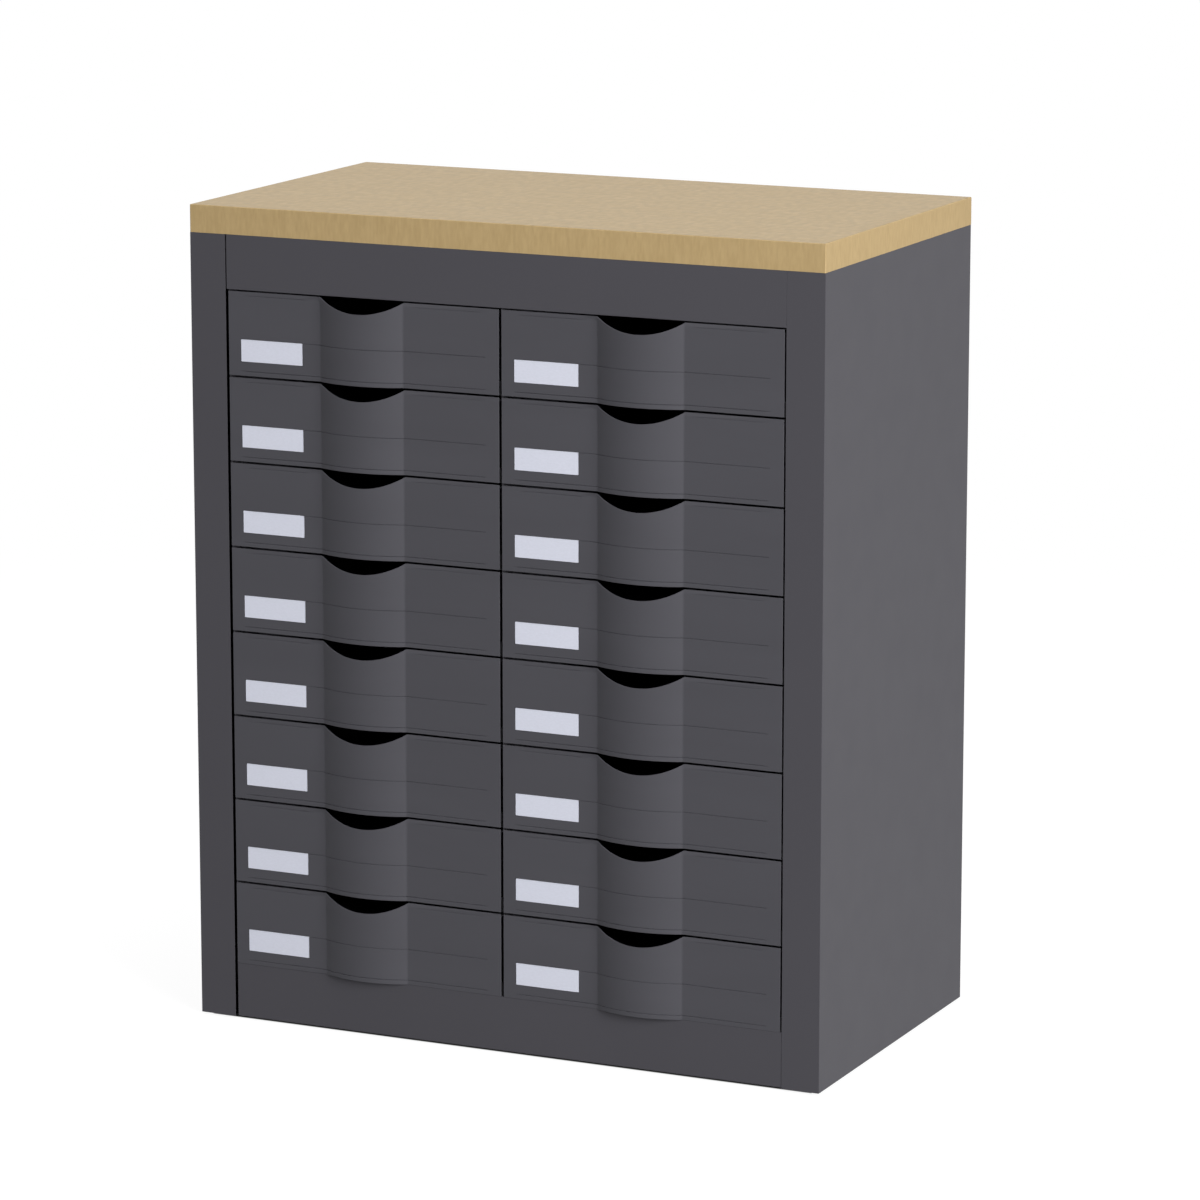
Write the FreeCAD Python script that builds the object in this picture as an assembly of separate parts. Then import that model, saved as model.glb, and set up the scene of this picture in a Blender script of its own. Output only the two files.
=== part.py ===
import FreeCAD, Part
import math
import os

# Drawer sorting station: a folded steel case with two columns of moulded drawers under a wood-look worktop.
#
# Millimetres, +Z up. Pieces are modelled from the case's own datum: x from the middle of the case, y
# backwards from the face of the stiles, z up from the floor. Each piece is moved to the part's origin as it is
# written, which lies on the floor in the middle of the whole object's outline.

V = FreeCAD.Vector

# Case
case_width = 616.0
case_depth = 342.0
plinth_height = 50.0
rail_height = 50.0
column_rows = 8
row_pitch = 78.0
sheet = 1.0
bend_inside = 1.0
fit = 0.2

# Stiles and flanges of the side panels
stile_width = 36.0
stile_return = 14.0
rear_flange = 18.0
foot_flange = 28.0

# Rails and panels between the sides
rail_return = 20.8
plinth_recess = 1.7
plinth_lift = 1.0
panel_flange = 15.0
panel_drop = 4.0
back_margin = 3.0

# Gaps round the drawer fronts
row_gap = 1.4
plinth_clear = 0.4

# Worktop
worktop_thickness = 25.0
edging_thickness = 2.0
edging_round = 1.5

# Liners, partition and runners
liner_front = 5.0
liner_end_gap = 10.0
partition_flange = 15.0
runner_space = 3.3
runner_plate = 1.5
runner_height = 13.0
runner_end_gap = 3.0
ledge_lift = 1.0
ledge_thickness = 2.0
ledge_reach = 8.0
stop_length = 6.0
stop_setback = 4.0
stop_height = 9.0
stop_clear = 0.4

# Drawer moulding
drawer_travel = 240.0
slide_clear = 0.3
front_wall = 2.5
front_overhang = 3.0
tray_wall = 2.0
tray_draft = 0.7
tray_corner = 6.0
tray_floor = 2.0
tray_back_gap = 6.0
rim_drop = 2.3
rim_width = 2.0
rim_height = 2.0
skid_height = 0.8
skid_width = 7.0
lug_length = 6.0
lug_height = 6.0

# Drawer face
bulge_half = 42.0
bulge_rise = 9.7
finger_cut = 12.2
groove_depth = 0.6
groove_width = 1.2
groove_inset = 13.2
groove_clear = 6.0
top_groove_drop = 3.8
low_groove_rise = 4.7

# Label in its recess
label_width = 62.0
label_height = 20.0
label_thickness = 0.7
label_inset = 13.2
label_rise = 13.4
label_recess = 0.9
label_clear = 0.3

# Glides and screws
glide_height = 2.0
glide_width = 20.0
glide_length = 30.0
glide_chamfer = 1.0
glide_peg = 6.0
glide_peg_height = 5.0
glide_inset = 30.0
screw_radius = 2.0
screw_head_across = 8.0
screw_head_height = 3.0
screw_reach = 16.0
screw_inset = 45.0
slot_clear = 0.3
slot_play = 1.5

# How far a cutting shape runs past the face it opens
past = 1.0

# Heights
case_bottom = glide_height
rows_bottom = case_bottom + plinth_height
rows_top = rows_bottom + column_rows * row_pitch
case_top = rows_top + rail_height
worktop_top = case_top + worktop_thickness
rail_bottom = rows_top + row_gap / 2
plinth_top = rows_bottom + row_gap / 2 - plinth_clear
base_top = rows_bottom - panel_drop

# Depths
back_face = case_depth - sheet
bend_outside = bend_inside + sheet
panel_front = rail_return + fit
liner_end = back_face - liner_end_gap
runner_front = front_wall + slide_clear
runner_end = liner_end - runner_end_gap
stop_front = runner_front + stop_setback
stop_back = stop_front + stop_length
tray_end = back_face - tray_back_gap
lug_front = stop_back + slide_clear + drawer_travel

# Widths
half_width = case_width / 2
opening_half = half_width - stile_width
liner_face = opening_half - sheet
partition_half = sheet / 2
tray_outer = liner_face - runner_space
tray_inner = partition_half + runner_space
tray_half = (tray_outer - tray_inner) / 2
column_centre = (tray_outer + tray_inner) / 2
front_half = tray_half + front_overhang

# Heights inside a row, from its base line
front_low = row_gap / 2
front_high = row_pitch - row_gap / 2
ledge_top = ledge_lift + ledge_thickness
skid_low = ledge_top + slide_clear
floor_low = skid_low + skid_height
floor_high = floor_low + tray_floor
rim_high = front_high - rim_drop
rim_low = rim_high - rim_height

# Label and grooves on the drawer face, from its middle and from the row's base line
label_left = -front_half + label_inset
label_right = label_left + label_width
label_low = front_low + label_rise
label_high = label_low + label_height
groove_end = front_half - groove_inset

# The part's origin: on the floor, in the middle of the outline
origin_shift = V(0, (bulge_rise - case_depth) / 2, 0)


def box(x0, x1, y0, y1, z0, z1):
    """A block between two values on each axis."""
    return Part.makeBox(x1 - x0, y1 - y0, z1 - z0, V(x0, y0, z0))


def prism(points, run):
    """A closed outline of points, pushed along a vector."""
    return Part.Face(Part.makePolygon([*points, points[0]])).extrude(run)


def joined(first, *others):
    """One clean solid from pieces that touch or overlap."""
    return first.multiFuse(list(others)).removeSplitter()


def mirrored(shape):
    """The same piece on the other side of the case."""
    return shape.mirror(V(0, 0, 0), V(1, 0, 0))


def edges_at(shape, **place):
    """The straight edges all of whose ends have the given coordinates."""
    close = 1e-6
    found = []
    for edge in shape.Edges:
        ends = [vertex.Point for vertex in edge.Vertexes]
        if all(abs(getattr(end, axis) - value) < close for end in ends for axis, value in place.items()):
            found.append(edge)
    return found


def row_base(row):
    """The height of a row's base line, with row 1 at the top."""
    return rows_top - row * row_pitch


# Case

def glide_places():
    """Plan positions of the four glides, in the middle of the foot flanges."""
    x = half_width - foot_flange / 2
    return [(side * x, y) for side in (-1, 1) for y in (glide_inset, back_face - glide_inset)]


def left_side_panel():
    """Outer skin, stile with its return, rear flange and foot flange, folded from one sheet."""
    out, edge = -half_width, -opening_half
    plan = [
        (out, 0), (edge, 0), (edge, stile_return), (edge - sheet, stile_return),
        (edge - sheet, sheet), (out + sheet, sheet), (out + sheet, back_face - sheet),
        (out + rear_flange, back_face - sheet), (out + rear_flange, back_face), (out, back_face),
    ]
    skin = prism([V(x, y, case_bottom) for x, y in plan], V(0, 0, case_top - case_bottom))
    bends = [(out, 0), (edge, 0), (out, back_face)]
    insides = [(out + sheet, sheet), (edge - sheet, sheet), (out + sheet, back_face - sheet)]
    skin = skin.makeFillet(bend_outside, [e for x, y in bends for e in edges_at(skin, x=x, y=y)])
    skin = skin.makeFillet(bend_inside, [e for x, y in insides for e in edges_at(skin, x=x, y=y)])
    foot = box(
        out + sheet / 2, out + foot_flange, bend_outside, back_face - bend_outside,
        case_bottom, case_bottom + sheet,
    )
    return joined(skin, foot).cut(Part.makeCompound([glide_peg_shape(x, y, fit) for x, y in glide_places()]))


def channel(front, low, high):
    """A folded rail across the opening: a face with a return at its foot and head, and a tab at each end."""
    length = 2 * (opening_half - fit)
    start = -length / 2
    section = [
        (front, low), (rail_return, low), (rail_return, low + sheet), (front + sheet, low + sheet),
        (front + sheet, high - sheet), (rail_return, high - sheet), (rail_return, high), (front, high),
    ]
    rail = prism([V(start, y, z) for y, z in section], V(length, 0, 0))
    rail = rail.makeFillet(bend_outside, edges_at(rail, y=front, z=low) + edges_at(rail, y=front, z=high))
    ends = [(start, start + sheet), (-start - sheet, -start)]
    tabs = [
        box(x0, x1, front + sheet / 2, stile_return - fit, low + sheet / 2, high - sheet / 2)
        for x0, x1 in ends
    ]
    return joined(rail, *tabs)


def top_rail():
    """The fascia over the drawers, flush with the stiles."""
    return channel(0, rail_bottom, case_top)


def plinth():
    """The kick rail under the drawers, a little back from the stiles and up from their feet."""
    return channel(plinth_recess, case_bottom + plinth_lift, plinth_top)


def level_panel(top):
    """A level pan between the sides, with its flanges turned down and its rear corners notched."""
    side, rear = half_width - sheet - fit, back_face - sheet - fit
    notch = rear - bend_inside
    tongue = half_width - rear_flange - fit
    low = top - sheet - panel_flange
    return joined(
        box(-side, side, panel_front, notch, top - sheet, top),
        box(-side + bend_inside, side - bend_inside, panel_front, rear, top - sheet, top),
        box(-side, -side + sheet, panel_front, notch, low, top),
        box(side - sheet, side, panel_front, notch, low, top),
        box(-side, side, panel_front, panel_front + sheet, low, top),
        box(-tongue, tongue, panel_front, back_face, top - sheet, top),
        box(-tongue, tongue, back_face - sheet, back_face, low, top),
    )


def base_panel():
    """The pan under the lowest drawers. The liners and the partition stand on it."""
    return level_panel(base_top)


def top_panel():
    """The pan under the worktop, with a slot for each of its screws that lets the board shrink and swell."""
    half_y = screw_radius + slot_clear
    half_x = half_y + slot_play
    low, high = case_top - sheet - past, case_top + past
    slots = [box(x - half_x, x + half_x, y - half_y, y + half_y, low, high) for x, y in screw_places()]
    return level_panel(case_top).cut(Part.makeCompound(slots))


def back_panel():
    """The flat rear sheet, welded on from behind."""
    side = half_width - back_margin
    return box(-side, side, back_face, case_depth, case_bottom + back_margin, case_top - back_margin)


def left_liner():
    """The inner side of the case, boxed out to the skin at head, foot and rear."""
    face, skin = -liner_face, -half_width + sheet + fit
    high = rail_bottom - fit
    behind_stile = stile_return + fit
    liner = joined(
        box(-opening_half, face, liner_front, liner_end, base_top, high),
        box(skin, face, behind_stile, liner_end, base_top, base_top + sheet),
        box(skin, face, behind_stile, liner_end, high - sheet, high),
        box(skin, face, liner_end - sheet, liner_end, base_top, high),
    )
    return liner.cut(plinth_notch())


def plinth_notch():
    """The room that the plinth's upper return takes from the pieces that stand behind it."""
    reach = case_width / 2
    return box(-reach, reach, -past, panel_front, base_top - past, plinth_top + fit)


def centre_partition():
    """The upright between the two columns, turned at foot, head and rear."""
    half, out = partition_half, partition_flange - partition_half
    head, rear = case_top - sheet, back_face - sheet - fit
    inner_front = panel_front + sheet + fit
    clear_head = head - panel_flange - fit
    outline = [
        (liner_front, base_top), (back_face, base_top), (back_face, clear_head), (rear, clear_head),
        (rear, head), (inner_front, head), (inner_front, rail_bottom - fit), (liner_front, rail_bottom - fit),
    ]
    partition = joined(
        prism([V(-half, y, z) for y, z in outline], V(sheet, 0, 0)),
        box(-half, out, inner_front, rear, base_top, base_top + sheet),
        box(-half, out, inner_front, rear, head - sheet, head),
        box(-half, out, back_face - sheet, back_face, base_top, clear_head),
    )
    return partition.cut(plinth_notch())


def glide_peg_shape(x, y, clear):
    """A glide's square peg through the foot flange, grown by a clearance."""
    half = glide_peg / 2 + clear
    return box(x - half, x + half, y - half, y + half, glide_height, glide_height + glide_peg_height)


def floor_glides():
    """Four push-in glides: a sole under the foot flange, chamfered all round, and a peg through it."""
    glides = []
    for x, y in glide_places():
        half_x, half_y = glide_width / 2, glide_length / 2
        sole = box(x - half_x, x + half_x, y - half_y, y + half_y, 0, glide_height)
        sole = sole.makeChamfer(glide_chamfer, edges_at(sole, z=0))
        glides.append(joined(sole, glide_peg_shape(x, y, 0)))
    return Part.makeCompound(glides)


# Worktop

def screw_places():
    """Where the worktop is screwed down: near its corners, inside the liners' head."""
    x = half_width - screw_inset
    return [(side * x, y) for side in (-1, 1) for y in (panel_front + screw_inset, back_face - screw_inset)]


def screw_shank(x, y, low, high):
    """The round of a screw between two heights, which is also its pilot hole's shape."""
    return Part.makeCylinder(screw_radius, high - low, V(x, y, low))


def worktop_board():
    """The core board with its wood-look faces, drilled from below for the screws."""
    side = half_width - edging_thickness
    board = box(-side, side, edging_thickness, case_depth - edging_thickness, case_top, worktop_top)
    pilots = [screw_shank(x, y, case_top, case_top + screw_reach) for x, y in screw_places()]
    return board.cut(Part.makeCompound(pilots))


def edge_band(x0, x1, y0, y1, outer):
    """One edge band, rounded along the top of each of its outer faces."""
    band = box(x0, x1, y0, y1, case_top, worktop_top)
    tops = [edge for place in outer for edge in edges_at(band, z=worktop_top, **place)]
    return band.makeFillet(edging_round, tops)


def worktop_edging():
    """Edge bands on all four sides, the long ones running over the ends of the short ones."""
    out, back = half_width, case_depth
    ends = [{"x": -out}, {"x": out}]
    end = edge_band(-out, -out + edging_thickness, edging_thickness, back - edging_thickness, ends[:1])
    return Part.makeCompound([
        edge_band(-out, out, 0, edging_thickness, [{"y": 0}, *ends]),
        edge_band(-out, out, back - edging_thickness, back, [{"y": back}, *ends]),
        end,
        mirrored(end),
    ])


def worktop_screws():
    """Hexagon-headed screws up through the top panel's slots into the board."""
    under = case_top - sheet
    corner = screw_head_across / (2 * math.cos(math.pi / 6))
    turns = [math.pi * k / 3 for k in range(6)]
    screws = []
    for x, y in screw_places():
        low = under - screw_head_height
        outline = [V(x + corner * math.cos(t), y + corner * math.sin(t), low) for t in turns]
        head = prism(outline, V(0, 0, screw_head_height))
        screws.append(joined(head, screw_shank(x, y, under, case_top + screw_reach)))
    return Part.makeCompound(screws)


# Runners

def left_liner_runner(row):
    """One runner on the left liner: an angle whose ledge carries the drawer, and a stop near its front."""
    face, base = -liner_face, row_base(row)
    low, top = base + ledge_lift, base + ledge_top
    plate, tip = face + runner_plate, face + runner_space + ledge_reach
    section = [
        (face, low), (tip, low), (tip, top), (plate, top), (plate, low + runner_height),
        (face, low + runner_height),
    ]
    angle = prism([V(x, runner_front, z) for x, z in section], V(0, runner_end - runner_front, 0))
    stop = box(face, -tray_outer - stop_clear, stop_front, stop_back, low, top + stop_height)
    return joined(angle, stop)


def runner_set(move):
    """The runners of all rows on one side of a column, moved across from the left liner."""
    runners = Part.makeCompound([left_liner_runner(row) for row in range(1, column_rows + 1)])
    runners.translate(V(move, 0, 0))
    return runners


# Drawer

def face_curve(depth, x0, x1):
    """The drawer face in plan at a depth under its skin, from x0 to x1: flat, bulge, flat."""
    full = (bulge_half ** 2 + bulge_rise ** 2) / (2 * bulge_rise)
    centre_y = full - bulge_rise
    radius = full - depth
    half = math.sqrt(radius ** 2 - (centre_y - depth) ** 2)
    bulge = Part.Arc(V(-half, depth, 0), V(0, centre_y - radius, 0), V(half, depth, 0))
    left = Part.LineSegment(V(x0, depth, 0), V(-half, depth, 0))
    right = Part.LineSegment(V(half, depth, 0), V(x1, depth, 0))
    return [left.toShape(), bulge.toShape(), right.toShape()]


def closed_wire(edges):
    """One wire from edges in any order."""
    return Part.Wire(Part.__sortEdges__(edges))


def face_wall():
    """The drawer's front wall, which keeps one thickness round the bulge."""
    front = face_curve(0, -front_half, front_half)
    back = face_curve(front_wall, -front_half, front_half)
    sides = [
        Part.LineSegment(V(x, 0, 0), V(x, front_wall, 0)).toShape() for x in (-front_half, front_half)
    ]
    wall = Part.Face(closed_wire([*front, *back, *sides])).extrude(V(0, 0, front_high - front_low))
    wall.translate(V(0, 0, front_low))
    return wall


def behind_bulge(depth, low, high):
    """The space between the bulge, at a depth under its skin, and the tray."""
    bulge = face_curve(depth, -front_half, front_half)[1]
    a, b = [vertex.Point for vertex in bulge.Vertexes]
    back = front_wall + tray_corner
    corners = [b, V(b.x, back, 0), V(a.x, back, 0), a]
    sides = [Part.LineSegment(p, q).toShape() for p, q in zip(corners, corners[1:])]
    space = Part.Face(closed_wire([bulge, *sides])).extrude(V(0, 0, high - low))
    space.translate(V(0, 0, low))
    return space


def tray_hollow():
    """The space inside the tray, a little narrower at its floor, with round upright corners."""
    top_half, floor_half = tray_half - tray_wall, tray_half - tray_wall - tray_draft
    top_back, floor_back = tray_end - tray_wall, tray_end - tray_wall - tray_draft
    high = front_high + past
    # The wedge is built lying down, its height along y, and then stood up.
    hollow = Part.makeWedge(
        -floor_half, floor_high, -floor_back, -top_back, -top_half,
        floor_half, high, -front_wall, -front_wall, top_half,
    )
    hollow.rotate(V(0, 0, 0), V(1, 0, 0), 90)
    upright = [e for e in hollow.Edges if e.BoundBox.ZLength > tray_corner]
    return hollow.makeFillet(tray_corner, upright)


def finger_notch():
    """The round-bottomed notch across the top of the bulge."""
    front = -bulge_rise - past
    high = front_high + past
    a, b = V(-bulge_half, front, front_high), V(bulge_half, front, front_high)
    arc = Part.Arc(a, V(0, front, front_high - finger_cut), b).toShape()
    corners = [b, V(b.x, front, high), V(a.x, front, high), a]
    sides = [Part.LineSegment(p, q).toShape() for p, q in zip(corners, corners[1:])]
    depth = bulge_rise + front_wall + tray_corner
    return Part.Face(closed_wire([arc, *sides])).extrude(V(0, depth, 0))


def groove(x0, x1, z):
    """A shallow level groove in a flat of the drawer face."""
    return box(x0, x1, -past, groove_depth, z - groove_width / 2, z + groove_width / 2)


def face_cuts():
    """The grooves on the two flats of the drawer face, and the label's recess."""
    inner = bulge_half + groove_clear
    top, low = front_high - top_groove_drop, front_low + low_groove_rise
    flats = [(-groove_end, -inner), (inner, groove_end)]
    grooves = [groove(x0, x1, z) for x0, x1 in flats for z in (top, low)]
    recess = box(
        label_left - label_clear, label_right + label_clear, -past, label_recess,
        label_low - label_clear, label_high + label_clear,
    )
    return Part.makeCompound([*grooves, recess])


def stop_lug():
    """The lug outside the tray's left wall that meets the runner's stop when the drawer is out."""
    tip = tray_half + runner_space - runner_plate - stop_clear
    return box(-tip, -tray_half, lug_front, lug_front + lug_length, floor_low, floor_low + lug_height)


def drawer():
    """One drawer as a single moulding, about its own middle, with z from the row's base line."""
    behind = front_wall / 2
    block = box(-tray_half, tray_half, behind, tray_end, floor_low, rim_high)
    rim = box(
        -tray_half - rim_width, tray_half + rim_width, behind, tray_end + rim_width, rim_low, rim_high,
    )
    skids = [
        box(x, x + skid_width, behind, tray_end, skid_low, floor_low)
        for x in (-tray_half, tray_half - skid_width)
    ]
    lug = stop_lug()
    body = joined(
        face_wall(), block, rim, behind_bulge(0, floor_low, floor_high), *skids, lug, mirrored(lug),
    )
    body = body.cut(tray_hollow()).cut(behind_bulge(front_wall, floor_high, front_high + past))
    return body.cut(finger_notch()).cut(face_cuts()).removeSplitter()


def label_card():
    """The plain card that lies in the recess of a drawer face."""
    return box(label_left, label_right, label_recess - label_thickness, label_recess, label_low, label_high)


# Files

def write(name, shape):
    """Moves a piece to the part's origin and writes its file."""
    placed = shape.copy()
    placed.translate(origin_shift)
    placed.exportStep(os.path.join("parts", name + ".step"))


def write_at(name, shape, x, z):
    """Writes a copy of a shape, moved across and up."""
    copy = shape.copy()
    copy.translate(V(x, 0, z))
    write(name, copy)


def write_case():
    """Writes the sheet pieces, the glides and the worktop."""
    side, liner = left_side_panel(), left_liner()
    write("left_side_panel", side)
    write("right_side_panel", mirrored(side))
    write("top_rail", top_rail())
    write("plinth", plinth())
    write("base_panel", base_panel())
    write("top_panel", top_panel())
    write("back_panel", back_panel())
    write("left_liner", liner)
    write("right_liner", mirrored(liner))
    write("centre_partition", centre_partition())
    write("floor_glides", floor_glides())
    write("worktop_board", worktop_board())
    write("worktop_edging", worktop_edging())
    write("worktop_screws", worktop_screws())


def write_runners():
    """Writes the four sets of runners. The partition's are the liners' own, moved to its faces."""
    outer, inner = runner_set(0), runner_set(liner_face + partition_half)
    write("left_outer_runners", outer)
    write("left_inner_runners", mirrored(inner))
    write("right_inner_runners", inner)
    write("right_outer_runners", mirrored(outer))


def write_drawers():
    """Writes every drawer and its label, row 1 at the top of each column."""
    moulding, card = drawer(), label_card()
    for column, x in (("left", -column_centre), ("right", column_centre)):
        for row in range(1, column_rows + 1):
            name = f"{column}_drawer_{row}"
            write_at(name, moulding, x, row_base(row))
            write_at(name + "_label", card, x, row_base(row))


def main():
    os.makedirs("parts", exist_ok=True)
    write_case()
    write_runners()
    write_drawers()


main()
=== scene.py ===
import math

import bmesh
import bpy
from bpy.props import FloatProperty, FloatVectorProperty, IntProperty, PointerProperty
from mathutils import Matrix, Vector


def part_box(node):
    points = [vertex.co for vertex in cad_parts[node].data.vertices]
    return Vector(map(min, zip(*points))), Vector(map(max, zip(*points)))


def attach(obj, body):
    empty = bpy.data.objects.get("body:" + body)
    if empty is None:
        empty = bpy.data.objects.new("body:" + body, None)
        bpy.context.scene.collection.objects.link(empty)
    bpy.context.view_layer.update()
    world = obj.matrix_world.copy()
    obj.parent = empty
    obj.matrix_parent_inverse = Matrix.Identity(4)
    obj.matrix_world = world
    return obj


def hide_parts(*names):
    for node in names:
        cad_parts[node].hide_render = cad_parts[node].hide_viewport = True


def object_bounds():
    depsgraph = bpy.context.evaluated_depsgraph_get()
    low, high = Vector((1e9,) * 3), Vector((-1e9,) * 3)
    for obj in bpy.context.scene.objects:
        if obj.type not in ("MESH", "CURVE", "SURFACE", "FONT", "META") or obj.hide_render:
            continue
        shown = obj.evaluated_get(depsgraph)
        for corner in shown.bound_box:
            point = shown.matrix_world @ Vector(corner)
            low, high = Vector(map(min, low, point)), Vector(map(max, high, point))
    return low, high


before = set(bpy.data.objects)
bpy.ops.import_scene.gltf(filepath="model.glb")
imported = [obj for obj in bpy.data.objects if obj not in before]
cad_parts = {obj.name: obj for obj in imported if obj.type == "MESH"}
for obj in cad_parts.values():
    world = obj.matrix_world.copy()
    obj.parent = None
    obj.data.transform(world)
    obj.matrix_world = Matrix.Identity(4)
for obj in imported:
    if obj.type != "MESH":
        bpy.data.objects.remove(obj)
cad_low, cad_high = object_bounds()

bl_info = {
    "name": "Drawer sorting station",
    "version": (1, 0, 0),
    "blender": (4, 5, 0),
    "location": "View3D > Sidebar > Station",
    "description": "Paints a steel drawer case and models its drawers, label cards and worktop edges",
    "category": "Object",
}

# Metres and radians. Places come from the frame's boxes, and the property groups hold the other sizes.

COLUMNS = ("left", "right")
ROWS = range(1, 9)
MASTER = "left_drawer_1"
CASE_BODY = "case"

side_low, side_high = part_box("right_side_panel")
master_low, master_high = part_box(MASTER)
card_low, card_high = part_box(MASTER + "_label")
edging_low, edging_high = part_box("worktop_edging")

# The plane of the stiles, which is also that of the flats on the drawer faces
FACE_Y = side_low.y
# Places on the master drawer
MIDDLE_X = (master_low.x + master_high.x) / 2
FRONT_HALF = (master_high.x - master_low.x) / 2
BULGE_RISE = FACE_Y - master_low.y
FRONT_LOW = master_low.z
FRONT_HIGH = master_high.z

# A point this near to a plane or a line counts as on it
NEAR = 1e-5
# An edge runs along an axis when the axis takes up this share of its length
STRAIGHT = 0.999
# A face looks along an axis when its normal has this share of it
SQUARE = 0.9
# The faces outside the drawer's front look forward by more than this share
FORWARD = 0.8
# Other faces count as looking forward or back from this share on
TOWARD = 0.5
# The tray's walls look up or down by less than this share
LEVEL = 0.1

# Folds and rims are rounded from these angles on
FOLD_ANGLE = math.radians(45)
RIM_ANGLE = math.radians(60)
# Pieces are shaded smooth up to these angles
SHEET_SMOOTH = math.radians(40)
DRAWER_SMOOTH = math.radians(30)
CARD_SMOOTH = math.radians(50)
# How far large faces outweigh small ones in that shading, where 50 is even
LARGE_FACE_WEIGHT = 80
# Strips of a rounding: softened edges, folds and fronts, cards, edge bands, tray
SOFT_STEPS = 2
FINE_STEPS = 3
CARD_STEPS = 4
BAND_STEPS = 5
TRAY_STEPS = 8

# Most values of a noise lie between these
NOISE_MIDDLE = (0.3, 0.7)
# Each softbox, by how many degrees it stands right of the object's front and above its middle
SOFTBOXES = {"front": (0, 15), "key": (60, 15), "top": (0, 90), "rear": (-115, 6)}
# The camera sees from this near to this far
VIEW_RANGE = (0.1, 100)


class PanelSizes(bpy.types.PropertyGroup):
    """Sizes of the side panels, the top rail and the plinth, which are folded from sheet."""

    sheet: FloatProperty(name="Sheet", description="Thickness of the sheet", default=0.001, unit="LENGTH")
    bend: FloatProperty(name="Bend", description="Outer radius of the folds", default=0.0003, unit="LENGTH")
    left_trim: FloatProperty(
        name="Left trim", description="How far the left stile stays short of its solid's inner edge",
        default=0.0004, unit="LENGTH",
    )
    right_trim: FloatProperty(
        name="Right trim", description="How far the right stile stays short of its solid's inner edge",
        default=0.0001, unit="LENGTH",
    )
    stile_return: FloatProperty(
        name="Stile return", description="How far a stile's inner edge runs back",
        default=0.014, unit="LENGTH",
    )
    return_lean: FloatProperty(
        name="Return lean", description="How far the stile's return leans off the opening",
        default=math.radians(30), unit="ROTATION",
    )
    rear_flange: FloatProperty(
        name="Rear flange", description="Width of the flange at the rear", default=0.018, unit="LENGTH",
    )
    foot_flange: FloatProperty(
        name="Foot flange", description="Width of the flange that the glides sit in",
        default=0.028, unit="LENGTH",
    )
    foot_inset: FloatProperty(
        name="Foot inset", description="From the panel's front and rear to the foot flange",
        default=0.002, unit="LENGTH",
    )
    peg_reach: FloatProperty(
        name="Peg reach", description="From a side to the middle of a glide's peg",
        default=0.014, unit="LENGTH",
    )
    peg_inset: FloatProperty(
        name="Peg inset", description="From the panel's front or rear to the middle of a glide's peg",
        default=0.03, unit="LENGTH",
    )
    peg_room: FloatProperty(
        name="Peg room", description="Half the width of the hole for a peg", default=0.0032, unit="LENGTH",
    )
    plinth_recess: FloatProperty(
        name="Plinth recess", description="From the plane of the stiles to the plinth",
        default=0.0003, unit="LENGTH",
    )
    plinth_clear: FloatProperty(
        name="Plinth clearance", description="From the plinth's head to the lowest drawers",
        default=0.0001, unit="LENGTH",
    )
    plinth_gap: FloatProperty(
        name="Plinth gap", description="From the left stile to the plinth", default=0.0025, unit="LENGTH",
    )
    rail_gap: FloatProperty(
        name="Rail gap", description="From the left stile to the top rail", default=0.0009, unit="LENGTH",
    )
    seam: FloatProperty(
        name="Seam", description="From the right stile to the plinth and the rail",
        default=0.00005, unit="LENGTH",
    )
    plinth_head: FloatProperty(
        name="Plinth head", description="How far the plinth's head runs back",
        default=0.0045, unit="LENGTH",
    )
    notch: FloatProperty(
        name="Notch", description="From the head and the foot of the plinth and the rail to their tabs",
        default=0.0015, unit="LENGTH",
    )
    tab: FloatProperty(
        name="Tabs", description="How far the ends of the plinth and the rail run back",
        default=0.0135, unit="LENGTH",
    )


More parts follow.
